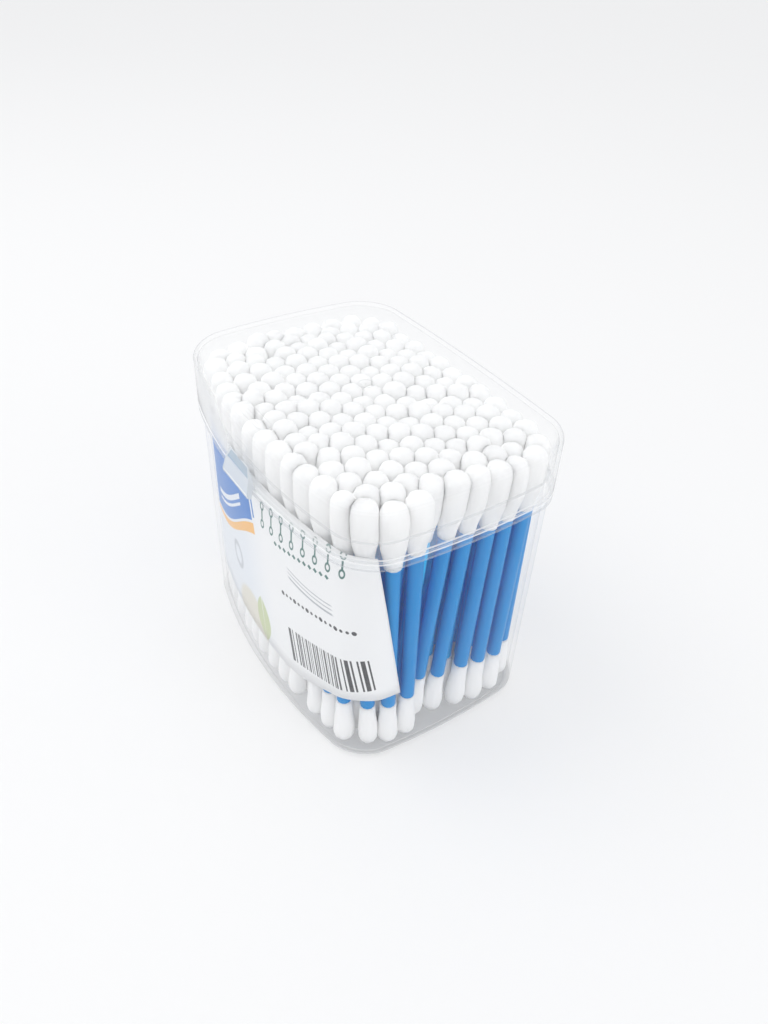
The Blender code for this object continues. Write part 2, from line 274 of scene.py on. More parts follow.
class Signal:
    """A socket of a tree's nodes. Python's operators on it add Math nodes."""

    def __init__(self, nodes, socket):
        self.nodes = nodes
        self.socket = socket

    def maths(self, operation, *others):
        inputs = dict(enumerate((self,) + others))
        return self.nodes.add("ShaderNodeMath", {"operation": operation}, inputs)

    def __add__(self, other):
        return self.maths("ADD", other)

    def __radd__(self, other):
        return self.maths("ADD", other)

    def __sub__(self, other):
        return self.maths("SUBTRACT", other)

    def __rsub__(self, other):
        return self.nodes.add("ShaderNodeMath", {"operation": "SUBTRACT"}, {0: other, 1: self})

    def __mul__(self, other):
        return self.maths("MULTIPLY", other)

    def absolute(self):
        return self.maths("ABSOLUTE")

    def sine(self):
        return self.maths("SINE")

    def power(self, exponent):
        return self.maths("POWER", exponent)

    def largest(self, other):
        return self.maths("MAXIMUM", other)

    def remainder(self, step):
        return self.maths("FLOORED_MODULO", step)

    def over(self, limit, soft=SOFT_STEP):
        """1 where the value is above the limit and 0 where it is below, with a soft step."""
        settings = {"operation": "MULTIPLY_ADD", "use_clamp": True}
        return self.nodes.add("ShaderNodeMath", settings, {0: self - limit, 1: 1 / soft, 2: 0.5})

    def under(self, limit, soft=SOFT_STEP):
        return 1 - self.over(limit, soft)

    def within(self, low, high, soft=SOFT_STEP):
        return self.over(low, soft) * self.under(high, soft)

    def beside(self, centre, half, soft=SOFT_STEP):
        """1 within half a width of a centre, which may be a signal too."""
        return (self - centre).absolute().under(half, soft)

    def sibling(self, output):
        """Another output of the same node."""
        return Signal(self.nodes, self.socket.node.outputs[output])


class Nodes:
    """A tree of nodes, in which each new node comes from one method."""

    def __init__(self, tree):
        self.tree = tree

    def add(self, kind, settings=None, inputs=None, output=0):
        """A new node with its settings made first, then its sockets filled. Returns one output."""
        node = self.tree.nodes.new(kind)
        for key, value in (settings or {}).items():
            setattr(node, key, value)
        for key, value in (inputs or {}).items():
            self.feed(node.inputs[key], value)
        return Signal(self, node.outputs[output])

    def feed(self, socket, value):
        if isinstance(value, Signal):
            self.tree.links.new(value.socket, socket)
        elif socket.type == "RGBA" and len(value) == 3:
            socket.default_value = (*value, 1.0)
        else:
            socket.default_value = value

    def rays_that_see(self):
        """1 for rays from the camera, from gloss and through clear plastic."""
        camera = self.add("ShaderNodeLightPath", output="Is Camera Ray")
        gloss = camera.sibling("Is Glossy Ray")
        through = camera.sibling("Is Transmission Ray")
        return camera.largest(gloss).largest(through)


class Finish(Nodes):
    """A material and its Principled shader."""

    def __init__(self, name, **constants):
        self.material = bpy.data.materials.new(name)
        self.material.use_nodes = True
        super().__init__(self.material.node_tree)
        self.shader = self.tree.nodes["Principled BSDF"]
        for socket, value in constants.items():
            self.set(socket.replace("_", " "), value)

    def set(self, socket, value):
        self.feed(self.shader.inputs[socket], value)

    def object_place(self):
        return self.add("ShaderNodeTexCoord", output="Object")

    def speckle(self, place, scale, detail=2.0, roughness=0.5):
        inputs = {"Vector": place, "Scale": scale, "Detail": detail, "Roughness": roughness}
        return self.add("ShaderNodeTexNoise", None, inputs)

    def blend(self, share, under, over):
        """Colour under, covered by over where share is 1."""
        inputs = {MIX_SHARE: share, MIX_UNDER: under, MIX_OVER: over}
        return self.add("ShaderNodeMix", {"data_type": "RGBA"}, inputs, MIX_RESULT)

    def relief(self, height, strength, depth):
        inputs = {"Height": height, "Strength": strength, "Distance": depth}
        self.set("Normal", self.add("ShaderNodeBump", None, inputs))


# Plan outline, the same curve as the CAD's

def straight_outline():
    """The plan before its sides are bowed, with round corners. Also its half length, front and back."""
    half = LENGTH / 2 - BOW_SIDE
    front = -WIDTH / 2 + BOW_FRONT
    back = WIDTH / 2 - BOW_BACK
    corners = (
        (half, back, BACK_CORNER_RADIUS, 0),
        (-half, back, BACK_CORNER_RADIUS, 90),
        (-half, front, FRONT_CORNER_RADIUS, 180),
        (half, front, FRONT_CORNER_RADIUS, 270),
    )
    arcs = []
    for x, y, radius, start in corners:
        angles = np.radians(start + 90 * np.arange(CORNER_STEPS + 1) / CORNER_STEPS)
        arc_x = x - math.copysign(radius, x) + radius * np.cos(angles)
        arc_y = y - math.copysign(radius, y) + radius * np.sin(angles)
        arcs.append(np.stack([arc_x, arc_y], axis=1))
    pieces = []
    for arc, following in zip(arcs, arcs[1:] + arcs[:1]):
        shares = np.arange(1, SIDE_STEPS)[:, None] / SIDE_STEPS
        pieces += [arc, arc[-1] + (following[0] - arc[-1]) * shares]
    return np.concatenate(pieces), half, front, back


def plan_outline():
    """The plan's points, and at each the direction that faces out of it."""
    points, half, front, back = straight_outline()
    middle = (front + back) / 2
    depth = (back - front) / 2
    across = points[:, 0] / half
    along = (points[:, 1] - middle) / depth
    bow = np.where(along < 0, BOW_FRONT, BOW_BACK)
    points[:, 0] += BOW_SIDE * (1 - along**2) * across
    points[:, 1] += bow * (1 - across**2) * along
    tangent = np.roll(points, -1, axis=0) - np.roll(points, 1, axis=0)
    tangent /= np.linalg.norm(tangent, axis=1)[:, None]
    return points, np.stack([tangent[:, 1], -tangent[:, 0]], axis=1)


PLAN, PLAN_NORMALS = plan_outline()


def inset_outline(inset):
    return PLAN - PLAN_NORMALS * inset


def way_along(path):
    """How far each point of a path lies from its first one, along it."""
    steps = np.linalg.norm(np.diff(path, axis=0), axis=1)
    return np.concatenate([[0.0], np.cumsum(steps)])


def bend(inset, height, radius, start, sweep, steps):
    """Section points round a centre at an inset and a height, from one angle through the sweep."""
    points = []
    for step in range(steps + 1):
        angle = math.radians(start + sweep * step / steps)
        points.append((inset + radius * math.cos(angle), height + radius * math.sin(angle)))
    return points


# Pieces

def finish_piece(bm, name, finishes, body, nodes):
    """Makes a piece of the mesh, smooth but for its sharp edges, riding on a CAD body."""
    mesh = bpy.data.meshes.new(name)
    bm.to_mesh(mesh)
    bm.free()
    mesh.shade_smooth()
    mesh.set_sharp_from_angle(angle=SHARP_ANGLE)
    piece = bpy.data.objects.new(name, mesh)
    bpy.context.scene.collection.objects.link(piece)
    for finish in finishes:
        mesh.materials.append(finish.material)
    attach(piece, body)
    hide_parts(*nodes)
    return piece


def loft(sections):
    """A closed shell drawn from one ring of edges through sections of inset and height."""
    bm = bmesh.new()
    order = bm.verts.layers.int.new("order")
    ring = bmesh.ops.create_circle(bm, segments=len(PLAN), radius=LENGTH)["verts"]
    for index, vert in enumerate(ring):
        vert[order] = index
    edges = list(bm.edges)
    first = list(edges)
    for number, (inset, height) in enumerate(sections):
        if number:
            grown = bmesh.ops.extrude_edge_only(bm, edges=edges)["geom"]
            ring = [part for part in grown if isinstance(part, bmesh.types.BMVert)]
            edges = [part for part in grown if isinstance(part, bmesh.types.BMEdge)]
            edges = [edge for edge in edges if all(vert in set(ring) for vert in edge.verts)]
        outline = inset_outline(inset)
        for vert in ring:
            vert.co = (*outline[vert[order]], height)
    for rim in (first, edges):
        bmesh.ops.contextual_create(bm, geom=rim)
    bmesh.ops.recalc_face_normals(bm, faces=bm.faces)
    return bm


def unite(piece, tool_bm, finish_number=CLEAR_FINISH):
    """Adds a closed form to a piece's mesh with an exact Boolean. The form keeps its own finish."""
    mesh = bpy.data.meshes.new("form")
    bmesh.ops.recalc_face_normals(tool_bm, faces=tool_bm.faces)
    for face in tool_bm.faces:
        face.material_index = face.material_index or finish_number
    tool_bm.to_mesh(mesh)
    for material in piece.data.materials:
        mesh.materials.append(material)
    tool_bm.free()
    tool = bpy.data.objects.new("form", mesh)
    bpy.context.scene.collection.objects.link(tool)
    union = piece.modifiers.new("union", "BOOLEAN")
    union.operation = "UNION"
    union.solver = "EXACT"
    union.object = tool
    graph = bpy.context.evaluated_depsgraph_get()
    joined = bpy.data.meshes.new_from_object(piece.evaluated_get(graph))
    piece.modifiers.remove(union)
    old = piece.data
    piece.data = joined
    bpy.data.meshes.remove(old)
    bpy.data.objects.remove(tool)
    joined.shade_smooth()
    joined.set_sharp_from_angle(angle=SHARP_ANGLE)


def half_round(length, radius, place):
    """A rib along X, round in section."""
    bm = bmesh.new()
    bmesh.ops.create_cone(
        bm, cap_ends=True, segments=RIB_SEGMENTS, radius1=radius, radius2=radius, depth=length,
        matrix=Matrix.Translation(place) @ Matrix.Rotation(math.pi / 2, 4, "Y"),
    )
    return bm


def make_tub(finishes):
    foot = FLANGE_REACH + WALL_DRAFT
    inner_foot = WALL_INNER + WALL_DRAFT
    sections = bend(foot + BASE_EDGE_RADIUS, BASE_EDGE_RADIUS, BASE_EDGE_RADIUS, -90, -90, BASE_BEND_STEPS)
    sections += [(FLANGE_REACH, FLANGE_BOTTOM - SOFT_EDGE)]
    sections += [(FLANGE_REACH - SOFT_EDGE, FLANGE_BOTTOM)]
    sections += bend(SOFT_EDGE, FLANGE_BOTTOM + SOFT_EDGE, SOFT_EDGE, -90, -90, SOFT_BEND_STEPS)
    sections += bend(SOFT_EDGE, FLANGE_TOP - SOFT_EDGE, SOFT_EDGE, 180, -90, SOFT_BEND_STEPS)
    sections += [(RIM_OUTER, FLANGE_TOP)]
    sections += bend(RIM_OUTER + SOFT_EDGE, RIM_TOP - SOFT_EDGE, SOFT_EDGE, 180, -90, SOFT_BEND_STEPS)
    sections += bend(RIM_INNER - SOFT_EDGE, RIM_TOP - SOFT_EDGE, SOFT_EDGE, 90, -90, SOFT_BEND_STEPS)
    sections += [(RIM_INNER, FLANGE_BOTTOM)]
    sections += [(WALL_INNER, FLANGE_BOTTOM - SHOULDER_HEIGHT)]
    sections += bend(
        inner_foot + INNER_EDGE_RADIUS, FLOOR + INNER_EDGE_RADIUS, INNER_EDGE_RADIUS,
        180, 90, WALL_BEND_STEPS,
    )
    tub = finish_piece(loft(sections), "tub_shell", finishes, "tub", ["tub"])
    for face in tub.data.polygons:
        height = face.center.z
        lies_flat = abs(face.normal.z) > FLAT_RISE
        # The tub's floor slab takes a painted shadow, darker towards the right.
        if height < FLOOR + SOFT_EDGE and lies_flat:
            face.material_index = FLOOR_SHADOW_FINISH
        # The rounded foot takes a pale painted highlight along the base edge.
        elif height < BASE_EDGE_RADIUS:
            face.material_index = FOOT_HIGHLIGHT_FINISH
        # The flange's upper rounded edge takes a painted highlight line.
        elif FLANGE_TOP - SOFT_EDGE < height < FLANGE_TOP - TINY:
            face.material_index = HIGHLIGHT_FINISH
        # Flat faces under the flange and on the rim's top take a painted shade line.
        elif min(abs(height - FLANGE_BOTTOM), abs(height - RIM_TOP)) < SOFT_EDGE and lies_flat:
            face.material_index = SHADE_LINE_FINISH
        elif FLANGE_BOTTOM < height < FLANGE_TOP + TINY:
            face.material_index = LEDGE_FINISH
    rib_place = (0, WIDTH / 2, FLANGE_TOP - HINGE_RIB_RADIUS)
    unite(tub, half_round(HINGE_LENGTH, HINGE_RIB_RADIUS, rib_place))


def thumb_tab():
    """A bent lip whose root is inside the skirt and whose free edge hangs clear of the flange."""
    face = -WIDTH / 2
    root = face + LID_WALL / 2
    ramp_top = SEAM + TAB_RISE
    ramp_foot = SEAM - TAB_DROP + TAB_THICKNESS
    step = (face - TAB_REACH * TAB_SLOT_SHARE, ramp_top + (ramp_foot - ramp_top) * TAB_SLOT_SHARE)
    profile = (
        (root, ramp_top),
        (face, ramp_top),
        step,
        (face - TAB_REACH, ramp_foot),
        (face - TAB_REACH, SEAM - TAB_DROP),
        (face - TAB_REACH + TAB_THICKNESS, SEAM - TAB_DROP),
        (face - TAB_CLEARANCE, SEAM + SEAM_GAP),
        (root, SEAM + SEAM_GAP),
    )
    bm = bmesh.new()
    side = [bm.verts.new((-TAB_LENGTH / 2, y, z)) for y, z in profile]
    cap = bm.faces.new(side)
    grown = bmesh.ops.extrude_face_region(bm, geom=[cap])["geom"]
    moved = [part for part in grown if isinstance(part, bmesh.types.BMVert)]
    bmesh.ops.translate(bm, verts=moved, vec=(TAB_LENGTH, 0, 0))
    for vert in bm.verts:
        if abs(vert.co.z - step[1]) < TINY:
            vert.co.x = math.copysign((TAB_ROOT_LENGTH + TAB_LENGTH) / 4, vert.co.x)
        elif vert.co.y < face - TAB_REACH / 2:
            vert.co.x -= math.copysign(TAB_REACH / 2, vert.co.x)
        elif vert.co.z > ramp_top - TINY:
            vert.co.x = math.copysign(TAB_ROOT_LENGTH / 2, vert.co.x)
    bmesh.ops.recalc_face_normals(bm, faces=bm.faces)
    lip = face - TAB_REACH * TAB_LIP_SHARE
    outer = [edge for edge in bm.edges if all(vert.co.y < lip for vert in edge.verts)]
    middle = Vector((0, (face + step[0]) / 2, (ramp_top + step[1]) / 2))
    ramp = min(bm.faces, key=lambda side: (side.calc_center_median() - middle).length)
    bmesh.ops.inset_individual(bm, faces=[ramp], thickness=TAB_SLOT_BORDER, depth=-TAB_SLOT_DEPTH)
    # The slot's recess is darker: painted shade.
    ramp.material_index = SLOT_SHADE_FINISH
    rounded = bmesh.ops.bevel(
        bm, geom=outer, offset=TAB_EDGE_RADIUS, segments=TAB_EDGE_STEPS, profile=0.5, affect="EDGES",
        material=-1, clamp_overlap=True,
    )
    # The tab's rounded outer edges take the painted highlight line.
    for side in rounded["faces"]:
        side.material_index = HIGHLIGHT_FINISH
    return bm


def raised_ring(radius, thickness, height, length=0.0):
    """A low ring, round or drawn out along X into an oval, from a spun profile."""
    bm = bmesh.new()
    profile = (
        (radius - thickness, -height), (radius - thickness / 2, height),
        (radius + thickness / 2, height), (radius + thickness, -height),
    )
    corners = [bm.verts.new((x, 0, z)) for x, z in profile]
    edges = [bm.edges.new(pair) for pair in zip(corners, corners[1:] + corners[:1])]
    bmesh.ops.spin(
        bm, geom=corners + edges, cent=(0, 0, 0), axis=(0, 0, 1), angle=2 * math.pi, steps=MARK_STEPS,
        use_merge=True,
    )
    half_step = math.pi / MARK_STEPS
    bmesh.ops.rotate(bm, verts=bm.verts, matrix=Matrix.Rotation(half_step, 3, "Z"))
    for vert in bm.verts:
        vert.co.x += math.copysign(length / 2, vert.co.x)
    return bm


def add_mark(lid, form, place, facing_front=False):
    """Joins a low form to the lid: under its top, or on the skirt's front."""
    turn = Matrix.Rotation(math.pi / 2, 4, "X") if facing_front else Matrix.Identity(4)
    bmesh.ops.transform(form, matrix=Matrix.Translation(place) @ turn, verts=form.verts)
    unite(lid, form, MARK_FINISH)


def add_lid_marks(lid):
    """The gate mark in the middle, the ribbed grip near the front and the small oval above the tab."""
    ceiling = HEIGHT - LID_TOP
    gate_x, gate_y = GATE_PLACE
    add_mark(lid, raised_ring(GATE_RADIUS, MARK_WIDTH, MARK_HEIGHT), (gate_x, gate_y, ceiling))
    dot = bmesh.new()
    bmesh.ops.create_uvsphere(dot, u_segments=DOT_SEGMENTS, v_segments=DOT_RINGS, radius=DOT_RADIUS)
    add_mark(lid, dot, (gate_x, gate_y, ceiling))
    grip_x, grip_y = GRIP_PLACE
    oval = raised_ring(GRIP_WIDTH / 2, MARK_WIDTH, MARK_HEIGHT, GRIP_LENGTH - GRIP_WIDTH)
    add_mark(lid, oval, (grip_x, grip_y, ceiling))
    for number in range(GRIP_RIBS):
        offset = (number - (GRIP_RIBS - 1) / 2) * GRIP_WIDTH / (GRIP_RIBS + 1)
        rib = half_round(GRIP_RIB_LENGTH, MARK_HEIGHT, (0, 0, 0))
        add_mark(lid, rib, (grip_x, grip_y + offset, ceiling))
    arch_x, arch_z = ARCH_PLACE
    arch_y = float(np.interp(arch_x, *front_face()))
    arch = raised_ring(ARCH_WIDTH / 2, MARK_WIDTH, MARK_HEIGHT, ARCH_LENGTH - ARCH_WIDTH)
    add_mark(lid, arch, (arch_x, arch_y, arch_z), facing_front=True)


def front_face():
    """X and Y of the outline's front side, from left to right."""
    front = PLAN[(PLAN[:, 1] < -WIDTH / 4) & (np.abs(PLAN[:, 0]) < LENGTH / 3)]
    front = front[np.argsort(front[:, 0])]
    return front[:, 0], front[:, 1]


def make_lid(finishes):
    ceiling = HEIGHT - LID_TOP
    sections = bend(LID_EDGE_RADIUS, HEIGHT - LID_EDGE_RADIUS, LID_EDGE_RADIUS, 90, 90, LID_BEND_STEPS)
    sections += bend(SOFT_EDGE, SEAM + SOFT_EDGE, SOFT_EDGE, 180, 90, SOFT_BEND_STEPS)
    sections += [(LID_WALL - SOFT_EDGE, SEAM), (LID_WALL, SEAM + SOFT_EDGE)]
    sections += bend(
        LID_WALL + INNER_EDGE_RADIUS, ceiling - INNER_EDGE_RADIUS, INNER_EDGE_RADIUS,
        180, -90, CEILING_BEND_STEPS,
    )
    lid = finish_piece(loft(sections), "lid_shell", finishes, "lid", ["lid"])
    for face in lid.data.polygons:
        height = face.center.z
        if height < SEAM + TINY:
            face.material_index = LEDGE_FINISH
        # Just above the seam, the skirt's rounded lower edge takes the painted highlight line.
        elif height < SEAM + SOFT_EDGE:
            face.material_index = HIGHLIGHT_FINISH
        # The lid's rounded top edge takes a grey band of painted shade.
        elif HEIGHT - LID_EDGE_RADIUS < height < HEIGHT - TINY and abs(face.normal.z) > ROUND_RISE:
            face.material_index = ROUND_SHADE_FINISH
    unite(lid, thumb_tab(), TAB_FINISH)
    unite(lid, half_round(HINGE_LENGTH, HINGE_RIB_RADIUS, (0, WIDTH / 2, SEAM + HINGE_RIB_RADIUS)))
    add_lid_marks(lid)


# Swabs

def nearest_on(path, place):
    """The point of a closed path that is nearest a place."""
    ahead = np.roll(path, -1, axis=0) - path
    shares = np.clip(((place - path) * ahead).sum(axis=1) / (ahead**2).sum(axis=1), 0, 1)
    spots = path + ahead * shares[:, None]
    return spots[np.argmin(np.linalg.norm(spots - place, axis=1))]


def on_right(inset, along):
    """The place behind the right wall at a depth and a distance along Y."""
    path = inset_outline(inset)
    path = path[path[:, 0] > 0]
    order = np.argsort(path[:, 1])
    return np.array([np.interp(along, path[order, 1], path[order, 0]), along])


def ring_ends():
    """Head, foot and lift of the CAD's ring swabs, which sway a little along the wall."""
    heads = []
    feet = []
    lifts = []
    path = inset_outline(RING_INSET)
    for name in sorted(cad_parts):
        if not name.startswith("swab_") or name == "swab_core":
            continue
        if name in LEANING:
            head_along, foot_along, head_inset, foot_inset, lift = LEANING[name]
            heads.append(on_right(head_inset, head_along))
            feet.append(on_right(foot_inset, foot_along))
            lifts.append(lift)
            continue
        low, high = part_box(name)
        centre = np.array([(low.x + high.x) / 2, (low.y + high.y) / 2])
        sway = np.array([chance.gauss(0, SWAY), chance.gauss(0, SWAY)])
        heads.append(nearest_on(path, centre + sway))
        feet.append(nearest_on(path, centre - FOOT_SWAY * sway))
        lifts.append(max(0.0, chance.gauss(0, LIFT_STEP)))
    return np.array(heads), np.array(feet), lifts


def is_inside(places, outline):
    """Which places lie inside a closed outline, by the crossings of a ray along +X."""
    inside = np.zeros(len(places), bool)
    for here, there in zip(outline, np.roll(outline, -1, axis=0)):
        crosses = (here[1] > places[:, 1]) != (there[1] > places[:, 1])
        rise = there[1] - here[1] or 1.0
        at = here[0] + (places[:, 1] - here[1]) / rise * (there[0] - here[0])
        inside ^= crosses & (at > places[:, 0])
    return inside


def settle(places, fixed):
    """Pushes places apart until few are nearer another, or a fixed one, than the pitch."""
    for _ in range(SETTLE_ROUNDS):
        everything = np.concatenate([places, fixed])
        apart = places[:, None] - everything[None]
        reach = np.linalg.norm(apart, axis=2)
        reach[reach < NO_DISTANCE] = 1.0
        push = np.clip(INNER_PITCH - reach, 0, None) / reach
        places = places + SETTLE_SHARE * (apart * push[..., None]).sum(axis=1)
    return places


def fence_points():
    """Evenly spaced places close to the wall, which keep the inner swabs behind the ring's."""
    outline = inset_outline(FENCE_INSET)
    closed = np.concatenate([outline, outline[:1]])
    way = way_along(closed)
    marks = np.arange(0, way[-1], FENCE_STEP)
    return np.stack([np.interp(marks, way, closed[:, axis]) for axis in (0, 1)], axis=1)


def inner_ends(ring_heads, ring_feet):
    """Close-packed heads and feet inside the ring, shaken and settled as loose swabs are."""
    shake = np.random.default_rng(SHAKE_SEED)
    fence = fence_points()
    spots = []
    for row in range(-GRID_ROWS, GRID_ROWS + 1):
        for column in range(-GRID_COLUMNS, GRID_COLUMNS + 1):
            spots.append(((column + row % 2 / 2) * INNER_PITCH, row * INNER_PITCH * math.sqrt(3) / 2))
    grid = np.array(spots)
    grid = grid[is_inside(grid, inset_outline(RING_INSET))]
    reach = np.linalg.norm(grid[:, None] - ring_heads[None], axis=2).min(axis=1)
    grid = grid[np.argsort(-reach)[:INNER_SWABS]]
    near_heads = np.concatenate([ring_heads, fence])
    near_feet = np.concatenate([ring_feet, fence])
    heads = settle(grid + shake.normal(0, HEAD_SHAKE, grid.shape), near_heads)
    feet = settle(grid + shake.normal(0, FOOT_SHAKE, grid.shape), near_feet)
    return heads, feet


def tip_template(name, profile):
    """A wound cotton tip with its end at the origin and its neck along +Z."""
    bm = bmesh.new()
    corners = [bm.verts.new((radius * MM, 0, height * MM)) for height, radius in profile]
    edges = [bm.edges.new(pair) for pair in zip(corners, corners[1:])]
    bmesh.ops.spin(
        bm, geom=corners + edges, cent=(0, 0, 0), axis=(0, 0, 1), angle=2 * math.pi, steps=SWAB_SEGMENTS,
        use_merge=True,
    )
    bmesh.ops.remove_doubles(bm, verts=bm.verts, dist=MERGE_DISTANCE)
    bmesh.ops.recalc_face_normals(bm, faces=bm.faces)
    mesh = bpy.data.meshes.new(name)
    bm.to_mesh(mesh)
    bm.free()
    return mesh


def stick_template():
    """A plastic stick along Z, of unit length. Its ends come to be inside the cotton."""
    bm = bmesh.new()
    bmesh.ops.create_cone(
        bm, cap_ends=True, segments=SWAB_SEGMENTS, radius1=STICK_RADIUS, radius2=STICK_RADIUS, depth=1.0,
        matrix=Matrix.Translation((0, 0, 0.5)),
    )
    mesh = bpy.data.meshes.new("stick_template")
    bm.to_mesh(mesh)
    bm.free()
    return mesh


def add_copy(bm, template, matrix):
    """Adds a template's mesh, moved by a matrix. Returns its vertices."""
    start = len(bm.verts)
    bm.from_mesh(template)
    bm.verts.ensure_lookup_table()
    fresh = bm.verts[start:]
    bmesh.ops.transform(bm, matrix=matrix, verts=fresh)
    return fresh


def aim(place, direction, turn):
    """A matrix that puts a template's origin at a place, with +Z along a direction."""
    facing = direction.to_track_quat("Z", "Y").to_matrix().to_4x4()
    return Matrix.Translation(place) @ facing @ Matrix.Rotation(turn, 4, "Z")


def add_tip(bm, template, end, direction, length):
    """One cotton tip with its own girth, length and soft lumps."""
    girth = chance.uniform(*TIP_GIRTH)
    depth = girth * chance.uniform(*TIP_FLATNESS)
    shape = Matrix.Diagonal((girth, depth, chance.uniform(*TIP_STRETCH), 1.0))
    matrix = aim(end, direction, chance.uniform(0, 2 * math.pi)) @ shape
    seed = Vector([chance.uniform(0, SEED_RANGE) for _ in range(3)])
    for vert in add_copy(bm, template, matrix):
        away = vert.co - end
        along = away.dot(direction)
        side = away - direction * along
        fade = min(1.0, max(0.0, (length - along) / FADE_LENGTH))
        lump = noise.noise(away / LUMP_SIZE + seed) * LUMP_DEPTH * fade
        droop = noise.noise(away / DROOP_SIZE - seed) * DROOP_DEPTH * fade
        vert.co += side * lump + direction * max(0.0, droop)


def swab_lines():
    """The two ends of every swab: where its lower tip stands and where its head is."""
    ring_heads, ring_feet, lifts = ring_ends()
    heads, feet = inner_ends(ring_heads, ring_feet)
    lifts = lifts + [abs(chance.gauss(0, LIFT_STEP)) for _ in heads]
    swabs = []
    all_feet = np.concatenate([ring_feet, feet])
    all_heads = np.concatenate([ring_heads, heads])
    for foot, head, lift in zip(all_feet, all_heads, lifts):
        high = HEAD_HEIGHT + max(-MOST_SPREAD, min(MOST_SPREAD, chance.gauss(0, HEAD_SPREAD)))
        top = min(high + lift, HEIGHT - LID_TOP - HEAD_GAP)
        swabs.append((Vector((*foot, SWAB_BASE + lift)), Vector((*head, top))))
    return swabs


def make_swabs(cotton, blues):
    """All tips in one piece and all sticks in another, the ring's swabs first."""
    nodes = sorted(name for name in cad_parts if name.startswith("swab_"))
    ring_count = len(nodes) - nodes.count("swab_core")
    tips = bmesh.new()
    sticks = bmesh.new()
    head_tip = tip_template("head_tip", HEAD_PROFILE)
    foot_tip = tip_template("foot_tip", FOOT_PROFILE)
    stick = stick_template()
    for number, (foot, head) in enumerate(swab_lines()):
        along = head - foot
        direction = along.normalized()
        add_tip(tips, foot_tip, foot, direction, FOOT_LENGTH)
        add_tip(tips, head_tip, head, -direction, HEAD_LENGTH)
        start = STICK_REACH * FOOT_LENGTH
        span = along.length - start - STICK_REACH * HEAD_LENGTH
        placed = aim(foot + direction * start, direction, chance.uniform(0, 1))
        matrix = placed @ Matrix.Diagonal((1, 1, span, 1))
        first_face = len(sticks.faces)
        add_copy(sticks, stick, matrix)
        sticks.faces.ensure_lookup_table()
        # Inner sticks take the second, brighter blue: painted light.
        for face in sticks.faces[first_face:]:
            face.material_index = int(number >= ring_count)
    finish_piece(tips, "cotton_tips", [cotton], "tub", nodes)
    finish_piece(sticks, "swab_sticks", blues, "tub", nodes)


# Label

def front_path(inset):
    """The outline from the back's middle round the front, and the way along it from the front's middle."""
    outline = inset_outline(inset)
    back = int(np.argmin(np.abs(outline[:, 0]) + WIDTH * (outline[:, 1] < 0)))
    path = np.roll(outline, -back, axis=0)
    way = way_along(path)
    front = int(np.argmin(np.abs(path[:, 0]) + WIDTH * (path[:, 1] > 0)))
    return path, way - way[front]


def make_label(paper):
    """A sheet bent along the wall, with a slanted end and a curved foot, and a flat map in millimetres."""
    path, way = front_path(LABEL_INSET)
    columns = 96
    rows = 12
    bm = bmesh.new()
    bmesh.ops.create_grid(bm, x_segments=columns, y_segments=rows, size=1.0)
    flat = bm.loops.layers.uv.new("flat")
    spots = {}
    for vert in bm.verts:
        share = vert.co.x / 2 + 0.5
        rise = vert.co.y / 2 + 0.5
        low = -LABEL_LEFT + (LABEL_RIGHT_BOTTOM + LABEL_LEFT) * share
        high = -LABEL_LEFT + (LABEL_RIGHT_TOP + LABEL_LEFT) * share
        bow = min(1.0, max(0.0, (low - LABEL_BOW_START) / (LABEL_BOW_END - LABEL_BOW_START)))
        foot = LABEL_BOTTOM + LABEL_CORNER_RISE * bow * bow * (3 - 2 * bow)
        distance = low + (high - low) * rise
        height = foot + (LABEL_TOP - foot) * rise
        x, y = (float(np.interp(distance, way, path[:, axis])) for axis in (0, 1))
        vert.co = (x, y, height)
        spots[vert] = (distance / FLAT_WIDTH + 0.5, height / FLAT_WIDTH)
    for face in bm.faces:
        for loop in face.loops:
            loop[flat].uv = spots[loop.vert]
    bmesh.ops.recalc_face_normals(bm, faces=bm.faces)
    outward = sum(face.normal.dot(Vector((0, -1, 0))) for face in bm.faces)
    if outward < 0:
        bmesh.ops.reverse_faces(bm, faces=bm.faces)
    label = finish_piece(bm, "paper_label", [paper], "tub", ["label"])
    sheet = label.modifiers.new("paper", "SOLIDIFY")
    sheet.thickness = LABEL_THICKNESS
    sheet.offset = -1.0


# Finishes

def clear_finish(name, haze, edge_haze_and_reflection, face_colour, edge_colour, painted_contour_share=0.15, right_painted_shadow=None):
    """Thin clear plastic, seen through where it faces the eye, paler where it turns away, with haze and a
    painted reflection there, and a grey contour of painted shade. Its haze may differ towards the right, for
    a painted shadow."""
    clear = Finish(name, Roughness=0.12, IOR=1.3)
    turned = clear.add("ShaderNodeLayerWeight", None, {"Blend": 0.5}, "Facing")
    # The pale edge is haze with a painted reflection of the white surroundings; the grey contour is painted
    # shade.
    edge = turned.power(EDGE_POWER)
    contour = turned.power(CONTOUR_POWER)
    place = clear.object_place()
    cloud = clear.speckle(place, CLOUD_SCALE) * min(haze, MOST_CLOUD)
    # The floor's painted shadow deepens from left to right, as though the light came from the left.
    if right_painted_shadow is not None:
        across = clear.add("ShaderNodeSeparateXYZ", None, {"Vector": place})
        haze = haze + across.over(PAINTED_SHADOW_MIDDLE, PAINTED_SHADOW_FADE) * (right_painted_shadow - haze)
    pale = clear.blend(edge, face_colour, edge_colour)
    clear.set("Base Color", clear.blend(contour, pale, PAINTED_CONTOUR_SHADE))
    clear.set("Alpha", edge * edge_haze_and_reflection + contour * painted_contour_share + (haze + cloud))
    return clear


